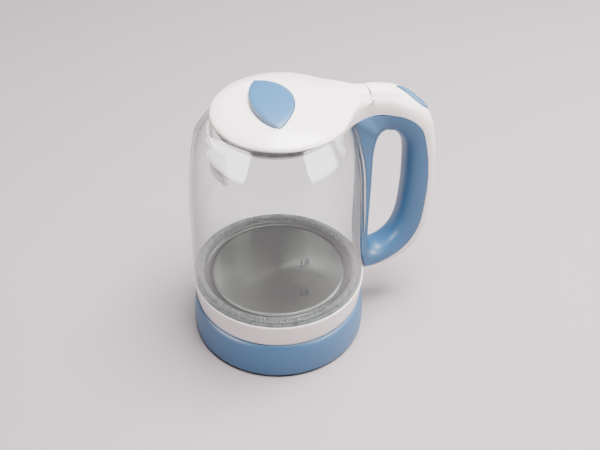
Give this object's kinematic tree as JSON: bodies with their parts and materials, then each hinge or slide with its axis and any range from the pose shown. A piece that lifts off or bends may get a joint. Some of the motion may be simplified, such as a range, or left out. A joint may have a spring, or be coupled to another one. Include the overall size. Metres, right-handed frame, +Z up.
{
  "type": "electric kettle",
  "caption": "Cordless glass kettle on a round power base, with a hinged lid, a loop handle and a rocker switch at the top of the handle.",
  "frame": {"origin": "centre of the base's underside, on the kettle's axis", "axes": "+Z up along the kettle's axis, +X towards the handle, spout towards -X, +Y to complete a right-handed frame"},
  "size_m": [0.2093, 0.1486, 0.2285],
  "materials": {
    "white_plastic": "satin gloss",
    "blue_plastic": "satin",
    "black_plastic": "matte",
    "black_rubber": "matte",
    "brushed_steel": "radial brush",
    "fastener_steel": "plain",
    "brass": "plain",
    "aluminium": "cast",
    "clear_glass": "clear",
    "clear_silicone": "translucent",
    "filter_mesh": "fine mesh",
    "wire_red": "insulation",
    "wire_grey": "insulation"
  },
  "bodies": {
    "power_base": {"base_shell": "blue_plastic", "base_bottom_cover": "black_plastic", "base_socket": "black_plastic", "socket_ring_contact": "brass", "socket_pin_contact": "brass", "cord_gland": "black_plastic", "base_foot_1": "black_rubber", "base_foot_2": "black_rubber", "base_foot_3": "black_rubber", "base_foot_4": "black_rubber", "base_screw_1": "fastener_steel", "base_screw_2": "fastener_steel", "base_screw_3": "fastener_steel"},
    "coupler": {"kettle_coupler": "black_plastic", "coupler_centre_pin": "brass", "coupler_ring_contact": "brass"},
    "kettle": {"body_ring": "white_plastic", "body_bottom_cover": "white_plastic", "control_block": "black_plastic", "heat_spreader": "aluminium", "heating_element": "aluminium", "element_terminal_1": "brass", "element_terminal_2": "brass", "heating_plate": "brushed_steel", "seal_ring": "clear_silicone", "glass_jug": "clear_glass", "spout_filter_frame": "white_plastic", "spout_filter_mesh": "filter_mesh", "handle_cover": "white_plastic", "handle_shell": "blue_plastic", "handle_wire_1": "wire_red", "handle_wire_2": "wire_grey", "steam_switch_housing": "black_plastic", "bimetal_disc": "fastener_steel", "rocker_pin": "fastener_steel", "lid_hinge_pin": "fastener_steel", "body_screw_1": "fastener_steel", "body_screw_2": "fastener_steel", "body_screw_3": "fastener_steel", "handle_screw_1": "fastener_steel", "handle_screw_2": "fastener_steel"},
    "hand_switch": {"switch_rocker": "blue_plastic"},
    "lid": {"lid_cover": "white_plastic", "lid_tab": "blue_plastic", "lid_liner": "white_plastic", "lid_seal": "clear_silicone", "lid_screw_1": "fastener_steel", "lid_screw_2": "fastener_steel"}
  },
  "joints": [
    {"name": "lift_off", "type": "slide", "parent": "power_base", "child": "coupler", "axis": [0, 0, 1], "range_m": [0, 0.2]},
    {"name": "swivel", "type": "hinge", "parent": "coupler", "child": "kettle", "pos_m": [0, 0, 0.045], "axis": [0, 0, 1], "continuous": true},
    {"name": "lid_hinge", "type": "hinge", "parent": "kettle", "child": "lid", "pos_m": [0.0665, 0, 0.2218], "axis": [0, 1, 0], "range_deg": [0, 70]},
    {"name": "switch_rocker", "type": "hinge", "parent": "kettle", "child": "hand_switch", "pos_m": [0.10805, 0, 0.20446], "axis": [0, 1, 0], "range_deg": [0, 6]}
  ]
}
